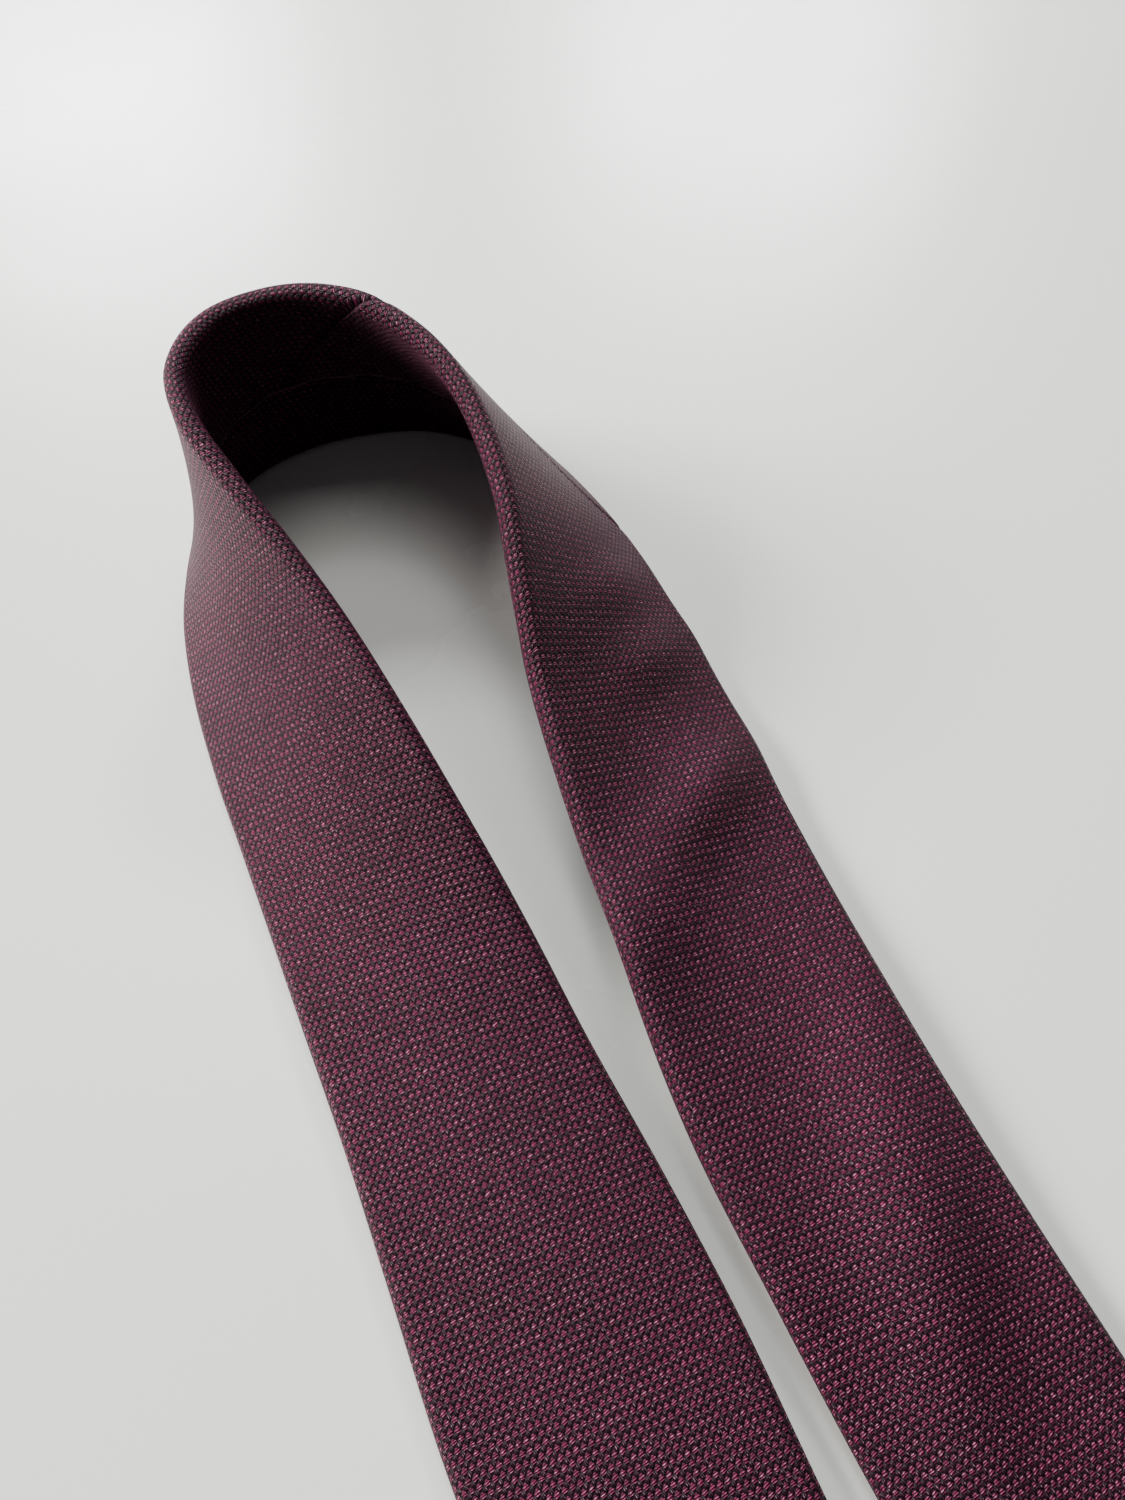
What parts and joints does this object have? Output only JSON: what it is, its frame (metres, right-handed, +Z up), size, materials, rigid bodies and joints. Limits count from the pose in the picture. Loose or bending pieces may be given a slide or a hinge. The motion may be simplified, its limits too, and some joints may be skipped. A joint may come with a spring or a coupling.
{
  "type": "necktie",
  "caption": "Folded silk necktie laid as a neck loop with both blades face up; panels, interlining, tipping, keeper loop and stitching, folding at both blades.",
  "frame": {"origin": "under the middle of the tie as it lies, on the surface it rests on", "axes": "+Y from the blade points towards the neck loop, +Z up, faces of both blades up"},
  "size_m": [0.1322, 0.7444, 0.0361],
  "materials": {
    "silk": "hopsack-weave silk, burgundy over charcoal, soft sheen",
    "interlining": "brushed wool-blend canvas",
    "tipping": "fine satin lining cloth",
    "thread": "twisted sewing silk",
    "label": "blank woven ribbon"
  },
  "bodies": {
    "loop_front": {"front_shell_loop": "silk", "interlining_loop_front": "interlining", "slip_stitch_loop_front": "thread"},
    "loop_neck": {"neck_shell_loop": "silk", "interlining_loop_neck": "interlining", "slip_stitch_loop_neck": "thread"},
    "front_leg": {"front_shell_leg": "silk", "interlining_front_leg": "interlining", "slip_stitch_front_leg": "thread"},
    "front_end": {"front_shell_tip": "silk", "interlining_front_tip": "interlining", "front_tipping": "tipping", "front_bar_tack": "thread", "slip_stitch_front_tip": "thread", "keeper_loop": "silk", "keeper_stitch_left": "thread", "keeper_stitch_right": "thread", "maker_label": "label", "care_tag": "label"},
    "tail_leg": {"neck_shell_leg": "silk", "tail_shell_leg": "silk", "interlining_tail_leg": "interlining", "slip_stitch_tail_leg": "thread"},
    "tail_end": {"tail_shell_tip": "silk", "interlining_tail_tip": "interlining", "tail_tipping": "tipping", "tail_bar_tack": "thread", "slip_stitch_tail_tip": "thread"}
  },
  "joints": [
    {"name": "neck_spread", "type": "hinge", "parent": "loop_front", "child": "loop_neck", "pos_m": [0.00725, 0.36763, 0], "axis": [0, 0, 1], "range_deg": [0, 20]},
    {"name": "front_lift", "type": "hinge", "parent": "loop_front", "child": "front_leg", "pos_m": [-0.02805, 0.24783, 0.008], "axis": [-1, 0, 0], "range_deg": [0, 90]},
    {"name": "front_fold", "type": "hinge", "parent": "front_leg", "child": "front_end", "pos_m": [-0.02805, -0.09217, 0.0078], "axis": [-1, 0, 0], "range_deg": [0, 178]},
    {"name": "tail_lift", "type": "hinge", "parent": "loop_neck", "child": "tail_leg", "pos_m": [0.01514, 0.24783, 0.00976], "axis": [-0.993, 0, 0.1178], "range_deg": [0, 90]},
    {"name": "tail_fold", "type": "hinge", "parent": "tail_leg", "child": "tail_end", "pos_m": [0.03068, -0.06678, 0.0078], "axis": [-0.9983, -0.0576, 0], "range_deg": [0, 178]}
  ]
}
